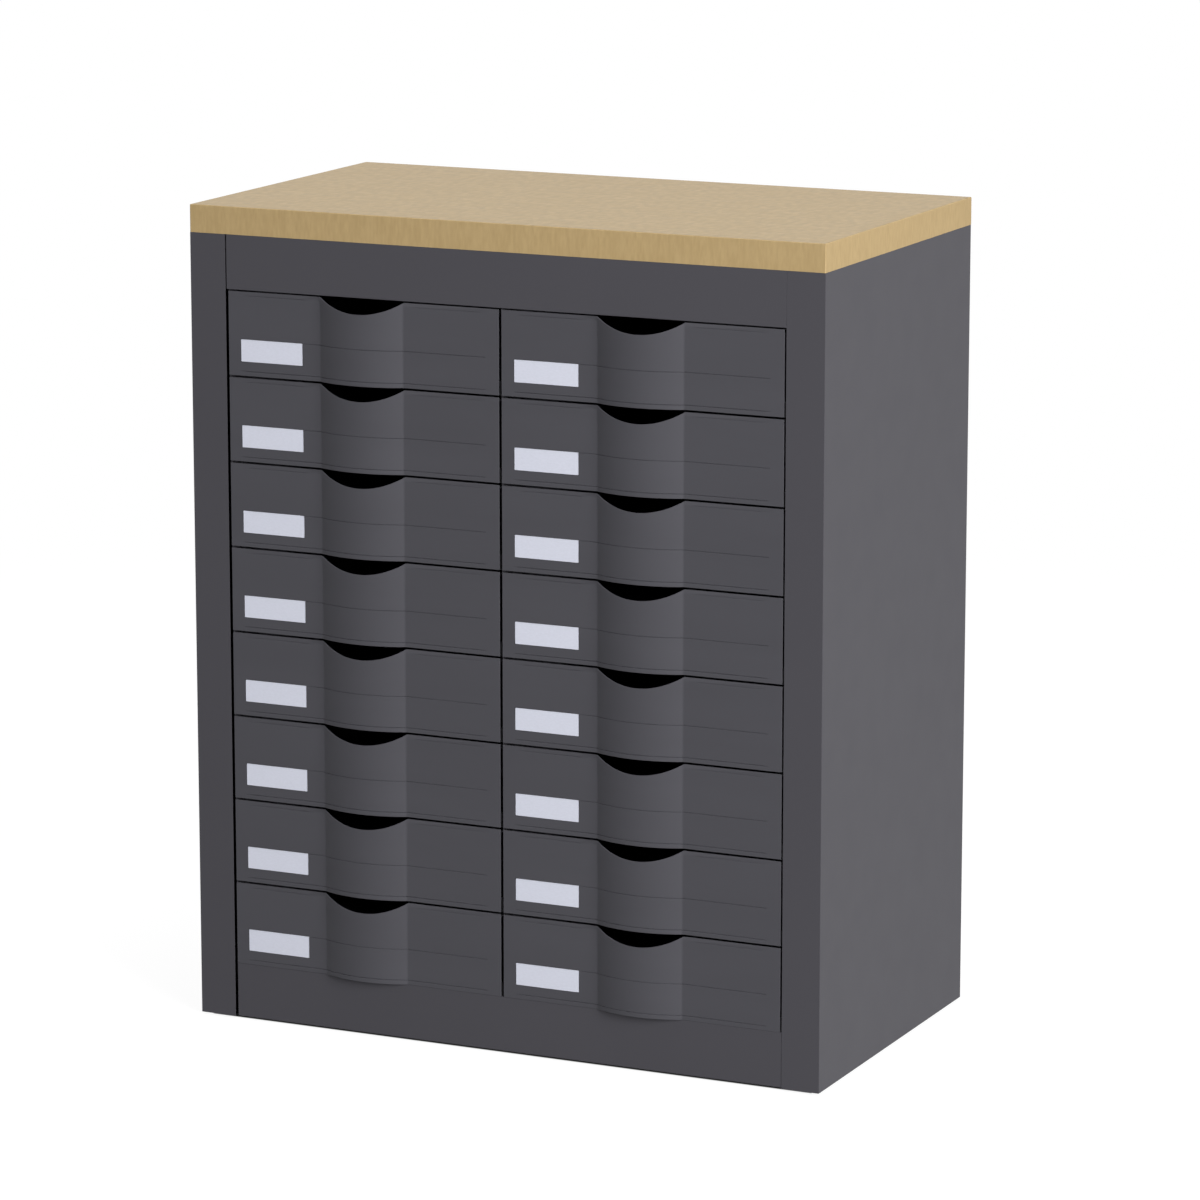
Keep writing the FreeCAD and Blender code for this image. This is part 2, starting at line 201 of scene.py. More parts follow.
class DrawerSizes(bpy.types.PropertyGroup):
    """Sizes of the moulded drawers."""

    bulge_half: FloatProperty(
        name="Bulge half width", description="From the middle of the face to the bulge's edge",
        default=0.042, unit="LENGTH",
    )
    bulge_steps: IntProperty(
        name="Bulge steps", description="Strips that make up the bulge's arc", default=40, min=8,
    )
    left_trim: FloatProperty(
        name="Left trim", description="How far the front stays inside its solid on the left",
        default=0.0009, unit="LENGTH",
    )
    right_trim: FloatProperty(
        name="Right trim", description="How far the front stays inside its solid on the right",
        default=0.0003, unit="LENGTH",
    )
    foot_trim: FloatProperty(
        name="Foot trim", description="How far the front stays inside its solid below",
        default=0.0005, unit="LENGTH",
    )
    finger_cut: FloatProperty(
        name="Finger cut", description="Depth of the notch across the top of the bulge",
        default=0.0122, unit="LENGTH",
    )
    front_wall: FloatProperty(
        name="Front wall", description="Thickness of the drawer's front", default=0.0025, unit="LENGTH",
    )
    edge_round: FloatProperty(
        name="Edge rounding", description="Rounding along the edges of the front",
        default=0.0002, unit="LENGTH",
    )
    rear_chamfer: FloatProperty(
        name="Rear chamfer", description="Chamfer round the back of the front",
        default=0.0014, unit="LENGTH",
    )
    side_overhang: FloatProperty(
        name="Front overhang", description="How far the front runs past the tray on each side",
        default=0.003, unit="LENGTH",
    )
    floor_lift: FloatProperty(
        name="Floor lift", description="From the front's lower edge to the tray's underside",
        default=0.0034, unit="LENGTH",
    )
    tray_wall: FloatProperty(
        name="Tray wall", description="Thickness of the tray's walls and floor",
        default=0.002, unit="LENGTH",
    )
    tray_corner: FloatProperty(
        name="Tray corner", description="Radius of the tray's rear corners in plan",
        default=0.008, unit="LENGTH",
    )
    rim_drop: FloatProperty(
        name="Rim drop", description="From the front's upper edge to the top of the rim",
        default=0.0023, unit="LENGTH",
    )
    rim_width: FloatProperty(
        name="Rim width", description="How far the rim stands out from the tray",
        default=0.002, unit="LENGTH",
    )
    rim_height: FloatProperty(
        name="Rim height", description="Height of the rim's outer face", default=0.002, unit="LENGTH",
    )
    skid_height: FloatProperty(
        name="Skid height", description="Depth of the skids under the tray", default=0.0008, unit="LENGTH",
    )
    skid_width: FloatProperty(
        name="Skid width", description="Width of each skid", default=0.0055, unit="LENGTH",
    )
    skid_inset: FloatProperty(
        name="Skid inset", description="From the tray's sides to the skids", default=0.001, unit="LENGTH",
    )
    lug_reach: FloatProperty(
        name="Lug reach", description="How far a stop lug stands out from the tray",
        default=0.0014, unit="LENGTH",
    )
    lug_size: FloatProperty(
        name="Lug size", description="Length and height of a stop lug", default=0.006, unit="LENGTH",
    )
    lug_lift: FloatProperty(
        name="Lug lift", description="From the tray's underside to the stop lugs",
        default=0.0005, unit="LENGTH",
    )
    lug_setback: FloatProperty(
        name="Lug setback", description="From the front's flats to the stop lugs",
        default=0.2531, unit="LENGTH",
    )
    recess_clear: FloatProperty(
        name="Recess clearance", description="Room round the label card", default=0.0003, unit="LENGTH",
    )
    recess_depth: FloatProperty(
        name="Recess depth", description="Depth of the label's recess", default=0.0009, unit="LENGTH",
    )
    groove_end: FloatProperty(
        name="Groove ends", description="From the middle of the face to the ends of its grooves",
        default=0.1218, unit="LENGTH",
    )
    groove_taper: FloatProperty(
        name="Groove taper", description="Length over which a groove runs out",
        default=0.008, unit="LENGTH",
    )
    middle_groove_taper: FloatProperty(
        name="Middle groove taper", description="Length over which the line beside the card runs out",
        default=0.002, unit="LENGTH",
    )
    groove_clear: FloatProperty(
        name="Groove clearance", description="From the bulge to the top grooves on the flats",
        default=0.006, unit="LENGTH",
    )
    top_groove_drop: FloatProperty(
        name="Top groove drop", description="From the front's upper edge to the top groove",
        default=0.0038, unit="LENGTH",
    )
    top_groove_width: FloatProperty(
        name="Top groove width", description="Width of the top groove", default=0.001, unit="LENGTH",
    )
    top_groove_depth: FloatProperty(
        name="Top groove depth", description="Depth of the top groove", default=0.0005, unit="LENGTH",
    )
    middle_groove_width: FloatProperty(
        name="Middle groove width", description="Width of the line beside the card",
        default=0.0007, unit="LENGTH",
    )
    middle_groove_depth: FloatProperty(
        name="Middle groove depth", description="Depth of the line beside the card",
        default=0.0005, unit="LENGTH",
    )
    low_groove_rise: FloatProperty(
        name="Low groove rise", description="From the front's lower edge to the low groove",
        default=0.0047, unit="LENGTH",
    )
    low_groove_width: FloatProperty(
        name="Low groove width", description="Width of the low groove", default=0.0008, unit="LENGTH",
    )
    low_groove_depth: FloatProperty(
        name="Low groove depth", description="Depth of the low groove", default=0.0006, unit="LENGTH",
    )


class WorktopSizes(bpy.types.PropertyGroup):
    """Sizes of the worktop's edge bands."""

    band_thickness: FloatProperty(
        name="Band thickness", description="Thickness of the edge bands", default=0.002, unit="LENGTH",
    )
    band_round: FloatProperty(
        name="Band rounding", description="Radius of the bands' outer edges", default=0.0008, unit="LENGTH",
    )


class CardSizes(bpy.types.PropertyGroup):
    """Sizes of the label cards."""

    corner: FloatProperty(
        name="Card corner", description="Radius of a card's corners", default=0.0006, unit="LENGTH",
    )
    edge: FloatProperty(
        name="Card edge", description="Softening of a card's edges", default=0.00012, unit="LENGTH",
    )


class FinishColours(bpy.types.PropertyGroup):
    """Colours of the finishes."""

    paint: FloatVectorProperty(
        name="Case paint", description="Powder coat of the case",
        default=(0.0655, 0.0635, 0.073), size=3, subtype="COLOR", min=0, max=1,
    )
    plastic: FloatVectorProperty(
        name="Drawer plastic", description="Moulded plastic of the drawers",
        default=(0.069, 0.068, 0.078), size=3, subtype="COLOR", min=0, max=1,
    )
    wood_light: FloatVectorProperty(
        name="Wood, light", description="Ground colour of the wood finish",
        default=(0.45, 0.32, 0.15), size=3, subtype="COLOR", min=0, max=1,
    )
    wood_dark: FloatVectorProperty(
        name="Wood, dark", description="Colour of the grain in the wood finish",
        default=(0.39, 0.27, 0.115), size=3, subtype="COLOR", min=0, max=1,
    )
    card: FloatVectorProperty(
        name="Label card", description="Card of the labels",
        default=(0.69, 0.708, 0.807), size=3, subtype="COLOR", min=0, max=1,
    )
    runner: FloatVectorProperty(
        name="Runners", description="Coated steel of the runners",
        default=(0.035, 0.035, 0.038), size=3, subtype="COLOR", min=0, max=1,
    )
    zinc: FloatVectorProperty(
        name="Screws", description="Zinc plating of the screws",
        default=(0.55, 0.56, 0.58), size=3, subtype="COLOR", min=0, max=1,
    )
    glide: FloatVectorProperty(
        name="Glides", description="Plastic of the floor glides",
        default=(0.02, 0.02, 0.021), size=3, subtype="COLOR", min=0, max=1,
    )


class StageSettings(bpy.types.PropertyGroup):
    """Places and strengths of the camera and the studio light."""

    camera_place: FloatVectorProperty(
        name="Camera", description="Where the camera stands",
        default=(2.03663, -4.32999, 1.37274), size=3, subtype="TRANSLATION", unit="LENGTH",
    )
    camera_azimuth: FloatProperty(
        name="Azimuth", description="Turn of the view about the vertical",
        default=math.radians(24.979), unit="ROTATION",
    )
    camera_elevation: FloatProperty(
        name="Elevation", description="How steeply the camera looks down",
        default=math.radians(11.660), unit="ROTATION",
    )
    lens: FloatProperty(name="Lens", description="Focal length", default=160.779, unit="CAMERA")
    floor_colour: FloatProperty(
        name="Floor", description="How light the floor is", default=0.18, min=0, max=1, subtype="FACTOR",
    )
    floor_lift: FloatProperty(
        name="Floor lift", description="Brightness that the view adds to the floor", default=0.9, min=0,
    )
    fill: FloatProperty(
        name="Fill", description="Strength of the light from all round", default=0.1, min=0,
    )
    floor_size: FloatProperty(
        name="Floor size", description="Side of the square floor", default=60.0, unit="LENGTH",
    )
    shadow_room: FloatProperty(
        name="Shadow room", description="How far from the middle the floor shows shadow in full",
        default=1.2, unit="LENGTH",
    )
    foot_shade: FloatProperty(
        name="Foot shade", description="From the case's outline in to where the floor under it stays dark",
        default=0.0085, unit="LENGTH",
    )
    foot_fade: FloatProperty(
        name="Foot fade", description="Width over which the floor turns from dark to pale there",
        default=0.002, unit="LENGTH",
    )
    light_distance: FloatProperty(
        name="Light distance", description="From the object's middle to each softbox",
        default=5.0, unit="LENGTH",
    )
    light_size: FloatProperty(
        name="Light size", description="Side of each softbox", default=2.4, unit="LENGTH",
    )
    front_power: FloatProperty(
        name="Front", description="Power of the light in front",
        default=54.0, min=0, unit="POWER",
    )
    key_power: FloatProperty(
        name="Key", description="Power of the light on the right",
        default=295.0, min=0, unit="POWER",
    )
    top_power: FloatProperty(
        name="Top", description="Power of the light overhead",
        default=106.0, min=0, unit="POWER",
    )
    rear_power: FloatProperty(
        name="Rear", description="Power of the light behind on the left",
        default=100.0, min=0, unit="POWER",
    )


# Picking in edit mode


def select_only(*pieces):
    """Selects just the given pieces in object mode and makes the first one active."""
    if bpy.context.mode != "OBJECT":
        bpy.ops.object.mode_set(mode="OBJECT")
    bpy.ops.object.select_all(action="DESELECT")
    for piece in pieces:
        piece.select_set(True)
    bpy.context.view_layer.objects.active = pieces[0]


def pick(piece, kind, test):
    """Opens a piece in edit mode and selects just the vertices, edges or faces that pass a test."""
    select_only(piece)
    bpy.ops.object.mode_set(mode="EDIT")
    bpy.ops.mesh.select_mode(type=kind)
    bpy.ops.mesh.select_all(action="DESELECT")
    mesh = bmesh.from_edit_mesh(piece.data)
    items = {"VERT": mesh.verts, "EDGE": mesh.edges, "FACE": mesh.faces}[kind]
    chosen = [item for item in items if test(item)]
    if not chosen:
        raise RuntimeError(f"{piece.name}: nothing to pick")
    for item in chosen:
        item.select_set(True)
    mesh.select_flush_mode()
    bmesh.update_edit_mesh(piece.data)


def close_edit():
    """Leaves edit mode."""
    bpy.ops.object.mode_set(mode="OBJECT")


def on(value, place):
    """True if a coordinate lies on a plane."""
    return abs(value - place) < NEAR


def middle(item):
    """The middle of an edge or a face."""
    points = [vertex.co for vertex in item.verts]
    return sum(points, Vector()) / len(points)


def along(edge, axis):
    """True if an edge runs along an axis, 0 to 2."""
    run = edge.verts[1].co - edge.verts[0].co
    return abs(run[axis]) > run.length * STRAIGHT


def looks_along(face, axis):
    """True if a face looks along an axis, 0 to 2, either way."""
    return abs(face.normal[axis]) > SQUARE


def lies_at(**places):
    """A test that all vertices of an edge or a face lie at the given coordinates."""

    def at_places(item):
        return all(on(getattr(v.co, axis), place) for v in item.verts for axis, place in places.items())

    return at_places


# Making and finishing pieces


def new_piece(name, add, low, high, **options):
    """Adds a primitive of unit size that fills the box between two corners, as a new piece."""
    low, high = Vector(low), Vector(high)
    bpy.ops.object.select_all(action="DESELECT")
    add(size=1, location=(low + high) / 2, **options)
    piece = bpy.context.object
    piece.name = name
    piece.data.name = name
    bpy.ops.object.transform_apply(location=False, rotation=True, scale=False)
    piece.scale = [abs(part) if abs(part) > NEAR else 1 for part in high - low]
    bpy.ops.object.transform_apply(location=True, rotation=True, scale=True)
    return piece


def new_block(name, low, high):
    """A block to shape further."""
    return new_piece(name, bpy.ops.mesh.primitive_cube_add, low, high)


def upright(name, x0, x1, y, z0, z1):
    """An upright plane that faces forward."""
    return new_piece(
        name, bpy.ops.mesh.primitive_plane_add, (x0, y, z0), (x1, y, z1), rotation=(math.pi / 2, 0, 0),
    )


def extrude(x, y, z):
    """Draws what is picked out by a distance along each axis."""
    bpy.ops.mesh.extrude_region_move(TRANSFORM_OT_translate={"value": (x, y, z)})


def run_out(piece, test, x, y, z):
    """Draws a new leaf out of the edges that pass a test."""
    pick(piece, "EDGE", test)
    extrude(x, y, z)
    close_edit()


def cut_faces(piece, axis, value, test):
    """Cuts across the faces that pass a test, at one value on an axis, 0 to 2."""
    pick(piece, "FACE", test)
    normal = Vector()
    normal[axis] = 1
    bpy.ops.mesh.bisect(plane_co=normal * value, plane_no=normal)


def apply_modifier(piece, kind, **settings):
    """Adds a modifier to a piece and applies it."""
    select_only(piece)
    modifier = piece.modifiers.new(kind.title(), kind)
    for name, value in settings.items():
        setattr(modifier, name, value)
    bpy.ops.object.modifier_apply(modifier=modifier.name)


def thicken(piece, wall):
    """Gives a surface its wall on the inner side."""
    apply_modifier(piece, "SOLIDIFY", thickness=wall, offset=-1, use_even_offset=True)


def unite(piece, other):
    """Unites a piece with another, and removes the other."""
    apply_modifier(piece, "BOOLEAN", object=other, operation="UNION", solver="EXACT")
    bpy.data.objects.remove(other)


def smooth(piece, angle):
    """Shades a piece smooth where its faces meet at less than an angle, with its flats kept flat."""
    select_only(piece)
    bpy.ops.object.shade_smooth_by_angle(angle=angle)
    apply_modifier(piece, "WEIGHTED_NORMAL", mode="FACE_AREA", keep_sharp=True, weight=LARGE_FACE_WEIGHT)


def round_edges(piece, test, radius, steps):
    """Rounds the edges that pass a test, or chamfers them with one step."""
    pick(piece, "EDGE", test)
    bpy.ops.mesh.bevel(
        offset=radius, offset_type="OFFSET", segments=steps, affect="EDGES", clamp_overlap=True,
    )
    close_edit()


def copy_piece(piece, name, move):
    """A copy of a piece with its own mesh, moved."""
    select_only(piece)
    bpy.ops.object.duplicate(linked=False)
    copy = bpy.context.object
    copy.name = name
    copy.data.name = name
    bpy.ops.transform.translate(value=move)
    bpy.ops.object.transform_apply(location=True, rotation=False, scale=False)
    return copy


def place(piece, body, node, slot, finish):
    """Puts a finished piece on its body in the node's stead, with its finish; the slot that it is given is
    not used.
    """
    piece.data.materials.clear()
    piece.data.materials.append(finish_of(finish))
    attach(piece, body)
    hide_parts(node)


# Folded sheets


def finish_sheet(piece, sizes):
    """Gives a folded sheet its thickness and rounds the outer side of its folds."""
    thicken(piece, sizes.sheet)
    round_edges(piece, lambda edge: edge.calc_face_angle_signed(0) > FOLD_ANGLE, sizes.bend, FINE_STEPS)
    smooth(piece, SHEET_SMOOTH)


def side_panel(name, side, trim, sizes):
    """A side folded from one sheet: skin, stile with its return, rear flange and foot flange."""
    low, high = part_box(name)
    outer, inner = (low.x, high.x) if side < 0 else (high.x, low.x)
    inner += side * trim
    front, rear = low.y, high.y
    skin = name.replace("_panel", "_skin")
    panel = upright(skin, min(outer, inner), max(outer, inner), front, low.z, high.z)
    run_out(panel, lies_at(x=outer), 0, rear - front, 0)
    run_out(panel, lies_at(y=rear), -side * sizes.rear_flange, 0, 0)
    lean = side * sizes.stile_return * math.tan(sizes.return_lean)
    run_out(panel, lies_at(x=inner), lean, sizes.stile_return, 0)
    for y in (front + sizes.foot_inset, rear - sizes.foot_inset):
        cut_faces(panel, 1, y, lambda face: looks_along(face, 0) and on(middle(face).x, outer))
    foot = Vector((outer, (front + rear) / 2, low.z))
    run_out(panel, lambda edge: (middle(edge) - foot).length < NEAR, -side * sizes.foot_flange, 0, 0)
    pegs = (front + sizes.peg_inset, rear - sizes.peg_inset)
    cut_pegs(panel, outer - side * sizes.peg_reach, pegs, sizes.peg_room)
    finish_sheet(panel, sizes)
    return panel


def cut_pegs(panel, x, places, room):
    """Cuts a square hole in the foot flange for each glide's peg."""

    def flange(face):
        return looks_along(face, 2)

    for edge_x in (x - room, x + room):
        cut_faces(panel, 0, edge_x, flange)
    for y in places:
        for edge_y in (y - room, y + room):
            cut_faces(panel, 1, edge_y, flange)
        pick(
            panel, "FACE",
            lambda face: flange(face) and max(abs(middle(face).x - x), abs(middle(face).y - y)) < room / 2,
        )
        bpy.ops.mesh.delete(type="FACE")
    close_edit()


def cross_rail(name, left, front, low, high, head, foot, sizes):
    """A rail between the stiles: a face with its head, foot and ends turned back."""
    right = side_low.x + sizes.right_trim - sizes.seam
    rail = upright(name, left, right, front, low, high)

    def between_notches(edge, x):
        return all(on(v.co.x, x) and low + NEAR < v.co.z < high - NEAR for v in edge.verts)

    for z in (low + sizes.notch, high - sizes.notch):
        cut_faces(rail, 2, z, lambda face: True)
    for x in (left, right):
        run_out(rail, lambda edge: between_notches(edge, x), 0, sizes.tab, 0)
    run_out(rail, lies_at(z=low), 0, foot, 0)
    run_out(rail, lies_at(z=high), 0, head, 0)
    finish_sheet(rail, sizes)
    return rail


def cross_rails(sizes, foot_trim):
    """The top rail, flush with the stiles, and the plinth, close under the lowest drawers."""
    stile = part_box("left_side_panel")[1].x - sizes.left_trim
    low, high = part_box("top_rail")
    depth = high.y - low.y
    top = cross_rail("fascia", stile + sizes.rail_gap, FACE_Y, low.z, high.z, depth, depth, sizes)
    low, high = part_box("plinth")
    front = FACE_Y + sizes.plinth_recess
    foot = cross_rail(
        "kick_rail", stile + sizes.plinth_gap, front, low.z,
        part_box("left_drawer_8")[0].z + foot_trim - sizes.plinth_clear,
        sizes.plinth_head, high.y - front, sizes,
    )
    return (top, "top_rail"), (foot, "plinth")


# Drawer face


def circle_radius(rise, half):
    """Radius of the circle through a chord's two ends and the top of its rise."""
    return (half ** 2 + rise ** 2) / (2 * rise)


def face_strip(sizes):
    """The drawer's face as one upright strip: a flat, the bulge's arc and the other flat."""
    half = sizes.bulge_half
    left, right = MIDDLE_X - half, MIDDLE_X + half
    start = MIDDLE_X - FRONT_HALF + sizes.left_trim
    strip = upright(MASTER + "_moulding", start, left, FACE_Y, FRONT_LOW + sizes.foot_trim, FRONT_HIGH)
    radius = circle_radius(BULGE_RISE, half)
    pick(strip, "EDGE", lies_at(x=left))
    bpy.ops.mesh.spin(
        steps=sizes.bulge_steps, angle=-2 * math.asin(half / radius),
        center=(MIDDLE_X, FACE_Y - BULGE_RISE + radius, 0), axis=(0, 0, 1),
    )
    run_out(strip, lies_at(x=right, y=FACE_Y), FRONT_HALF - sizes.right_trim - half, 0, 0)
    return strip


def lower_finger_cut(strip, sizes):
    """Draws the bulge's upper edge down to the arc of the finger cut."""
    cut, half = sizes.finger_cut, sizes.bulge_half
    radius = circle_radius(cut, half)
    tops = sorted(
        vertex.co.x for vertex in strip.data.vertices
        if on(vertex.co.z, FRONT_HIGH) and abs(vertex.co.x - MIDDLE_X) < half - NEAR
    )
    for x in tops:
        drop = math.sqrt(radius ** 2 - (x - MIDDLE_X) ** 2) - (radius - cut)
        pick(strip, "VERT", lambda vertex: on(vertex.co.x, x) and on(vertex.co.z, FRONT_HIGH))
        bpy.ops.transform.translate(value=(0, 0, -drop))
    close_edit()


def on_front(face):
    """True for the faces on the outside of the front."""
    return face.normal.y < -FORWARD and middle(face).y < FACE_Y + NEAR


def cut_front(piece, axis, value, test):
    """Cuts across the outside faces of the front that pass a test, at one value on an axis."""
    cut_faces(piece, axis, value, lambda face: on_front(face) and test(face))


def press_recess(piece, sizes):
    """Presses the label's recess into the left flat."""
    room = sizes.recess_clear
    left, right = card_low.x - room, card_high.x + room
    low, high = card_low.z - room, card_high.z + room
    flat_end = MIDDLE_X - sizes.bulge_half
    for x in (left, right):
        cut_front(piece, 0, x, lambda face: middle(face).x < flat_end)
    for z in (low, high):
        cut_front(piece, 2, z, lambda face: left < middle(face).x < right)
    pick(
        piece, "FACE",
        lambda face: on_front(face) and left < middle(face).x < right and low < middle(face).z < high,
    )
    extrude(0, sizes.recess_depth, 0)
    close_edit()


def press_groove(piece, start, end, z, width, depth, taper):
    """Presses one level groove into the front from start to end, running out at both ends."""
    low, high = z - width / 2, z + width / 2

    def met(face):
        places = [vertex.co.x for vertex in face.verts]
        return start - NEAR < max(places) and min(places) < end + NEAR

    def crossed(face, height):
        heights = [vertex.co.z for vertex in face.verts]
        return min(heights) < height < max(heights)

    def at_bottom(vertex):
        x, y, height = vertex.co
        return on(height, z) and start + taper - NEAR < x < end - taper + NEAR and y < FACE_Y + NEAR

    for height in (low, high):
        cut_front(piece, 2, height, lambda face: met(face) and crossed(face, height))
    for x in (start, start + taper, end - taper, end):
        cut_front(piece, 0, x, lambda face: met(face) and low < middle(face).z < high)
    cut_front(piece, 2, z, lambda face: start < middle(face).x < end and low < middle(face).z < high)
    pick(piece, "VERT", at_bottom)
    bpy.ops.transform.translate(value=(0, depth, 0))
    close_edit()


def press_grooves(piece, sizes):
    """Presses the three lines of the face: the top one on the flats only, the others across the bulge."""
    end, taper = sizes.groove_end, sizes.groove_taper
    inner = sizes.bulge_half + sizes.groove_clear
    top, low = FRONT_HIGH - sizes.top_groove_drop, FRONT_LOW + sizes.low_groove_rise
    for start, stop in ((-end, -inner), (inner, end)):
        press_groove(
            piece, MIDDLE_X + start, MIDDLE_X + stop, top,
            sizes.top_groove_width, sizes.top_groove_depth, taper,
        )
    press_groove(
        piece, MIDDLE_X - end, MIDDLE_X + end, low, sizes.low_groove_width, sizes.low_groove_depth, taper,
    )
    beside_card = card_high.x + 2 * sizes.recess_clear
    press_groove(
        piece, beside_card, MIDDLE_X + end, card_high.z,
        sizes.middle_groove_width, sizes.middle_groove_depth, sizes.middle_groove_taper,
    )


def drawer_front(sizes):
    """The drawer's front: the strip with its finger cut, thickened, rounded and pressed."""
    front = face_strip(sizes)
    lower_finger_cut(front, sizes)
    thicken(front, sizes.front_wall)

    def rim(edge, side):
        toward = any(side * face.normal.y > TOWARD for face in edge.link_faces)
        return toward and edge.calc_face_angle(0) > RIM_ANGLE

    round_edges(front, lambda edge: rim(edge, 1), sizes.rear_chamfer, 1)
    round_edges(front, lambda edge: rim(edge, -1), sizes.edge_round, FINE_STEPS)
    press_recess(front, sizes)
    press_grooves(front, sizes)
    return front


# Drawer tray


def tray_floor(sizes, half, front, rear, low):
    """The tray's floor in plan, with round rear corners and its front edge drawn out into the bulge."""
    plan = new_piece(
        "tray", bpy.ops.mesh.primitive_plane_add,
        (MIDDLE_X - half, front, low), (MIDDLE_X + half, rear, low),
    )
    pick(plan, "VERT", lambda vertex: on(vertex.co.y, rear))
    bpy.ops.mesh.bevel(offset=sizes.tray_corner, segments=TRAY_STEPS, affect="VERTICES")
    radius = circle_radius(BULGE_RISE, sizes.bulge_half)
    centre_y = FACE_Y - BULGE_RISE + radius
    inner_radius = radius - (front - FACE_Y)
    chord = math.sqrt(inner_radius ** 2 - (centre_y - front) ** 2)
    for x in (MIDDLE_X - chord, MIDDLE_X + chord):
        cut_faces(plan, 0, x, lambda face: True)
    pick(plan, "EDGE", lambda edge: on(middle(edge).y, front) and on(middle(edge).x, MIDDLE_X))
    bpy.ops.mesh.subdivide(number_cuts=sizes.bulge_steps - 1)
    inner = sorted(
        vertex.co.x for vertex in bmesh.from_edit_mesh(plan.data).verts
        if on(vertex.co.y, front) and abs(vertex.co.x - MIDDLE_X) < chord - NEAR
    )
    for x in inner:
        reach = front - centre_y + math.sqrt(inner_radius ** 2 - (x - MIDDLE_X) ** 2)
        pick(plan, "VERT", lambda vertex: on(vertex.co.x, x) and on(vertex.co.y, front))
        bpy.ops.transform.translate(value=(0, -reach, 0))
    close_edit()
    return plan


def outward(face):
    """True for the outer faces of the tray's sides and rear."""
    from_middle = middle(face) - Vector((MIDDLE_X, (FACE_Y + master_high.y) / 2, 0))
    level = abs(face.normal.z) < LEVEL
    return level and face.normal.y > -TOWARD and face.normal.dot(from_middle) > 0


def tray(sizes):
    """The tray behind the front: floor, walls, rim, skids and stop lugs."""
    half = FRONT_HALF - sizes.side_overhang
    front, rear = FACE_Y + sizes.front_wall / 2, master_high.y - sizes.rim_width
    low, high = FRONT_LOW + sizes.floor_lift, FRONT_HIGH - sizes.rim_drop
    rim_low = high - sizes.rim_height
    shell = tray_floor(sizes, half, front, rear, low)
    pick(shell, "EDGE", lambda edge: edge.is_boundary and any(v.co.y > front + NEAR for v in edge.verts))
    extrude(0, 0, high - low)
    bpy.ops.mesh.select_all(action="SELECT")
    bpy.ops.mesh.normals_make_consistent(inside=False)
    thicken(shell, sizes.tray_wall)
    cut_faces(shell, 2, rim_low, outward)
    pick(shell, "FACE", lambda face: outward(face) and middle(face).z > rim_low)
    bpy.ops.mesh.extrude_region_shrink_fatten(TRANSFORM_OT_shrink_fatten={"value": sizes.rim_width})
    add_skids(shell, sizes, half, low)
    for side in (-1, 1):
        add_lug(shell, sizes, MIDDLE_X + side * half, side, low)
    return shell


def add_skids(shell, sizes, half, low):
    """Draws two long skids down from the tray's underside."""

    def under(face):
        return looks_along(face, 2) and on(middle(face).z, low)

    outer, inner = half - sizes.skid_inset, half - sizes.skid_inset - sizes.skid_width
    for x in (-outer, -inner, inner, outer):
        cut_faces(shell, 0, MIDDLE_X + x, under)
    pick(shell, "FACE", lambda face: under(face) and inner < abs(middle(face).x - MIDDLE_X) < outer)
    extrude(0, 0, -sizes.skid_height)
    close_edit()


def add_lug(shell, sizes, wall_x, side, low):
    """Adds the stop lug on one side of the tray."""
    start = FACE_Y + sizes.lug_setback
    tip, root = wall_x + side * sizes.lug_reach, wall_x - side * sizes.tray_wall / 2
    lug = new_block(
        "lug", (min(tip, root), start, low + sizes.lug_lift),
        (max(tip, root), start + sizes.lug_size, low + sizes.lug_lift + sizes.lug_size),
    )
    round_edges(lug, lies_at(x=tip), sizes.edge_round, SOFT_STEPS)
    unite(shell, lug)


# Worktop and cards


def edge_band(name, low, high, outer, sizes):
    """One edge band, rounded along every edge where two of its outer faces meet."""
    band = new_block(name, low, high)
    sides = [Vector(normal) for normal in outer]

    def outside(face):
        return any(face.normal.dot(side) > SQUARE for side in sides)

    round_edges(band, lambda edge: all(outside(f) for f in edge.link_faces), sizes.band_round, BAND_STEPS)
    return band


def edge_bands(sizes):
    """The four edge bands of the worktop, the long ones running over the ends of the short ones."""
    low, high, thick = edging_low, edging_high, sizes.band_thickness
    up, front, rear, left, right = (0, 0, 1), (0, -1, 0), (0, 1, 0), (-1, 0, 0), (1, 0, 0)
    front_end, rear_start = low.y + thick, high.y - thick
    left_end, right_start = low.x + thick, high.x - thick
    places = {
        "front_band": (low, (high.x, front_end, high.z), (up, front, left, right)),
        "rear_band": ((low.x, rear_start, low.z), high, (up, rear, left, right)),
        "left_band": ((low.x, front_end, low.z), (left_end, rear_start, high.z), (up, left)),
        "right_band": ((right_start, front_end, low.z), (high.x, rear_start, high.z), (up, right)),
    }
    bands = [edge_band(name, *corners, sizes) for name, corners in places.items()]
    select_only(*bands)
    bpy.ops.object.join()
    edging = bands[0]
    edging.name = "worktop_edge_bands"
    edging.data.name = edging.name
    smooth(edging, SHEET_SMOOTH)
    return edging


def label_card(sizes):
    """The master drawer's card, with round corners and softened edges."""
    card = new_block(MASTER + "_card", card_low, card_high)
    round_edges(card, lambda edge: along(edge, 1), sizes.corner, CARD_STEPS)
    round_edges(card, lies_at(y=card_low.y), sizes.edge, SOFT_STEPS)
    smooth(card, CARD_SMOOTH)
    return card


# Finishes


def ranged(tree, value, low, high, out_low, out_high, curve="LINEAR"):
    """A value taken from one range to another, and kept inside it."""
    node = tree.nodes.new("ShaderNodeMapRange")
    node.interpolation_type = curve
    node.inputs["From Min"].default_value = low
    node.inputs["From Max"].default_value = high
    node.inputs["To Min"].default_value = out_low
    node.inputs["To Max"].default_value = out_high
    tree.links.new(value, node.inputs["Value"])
    return node.outputs["Result"]


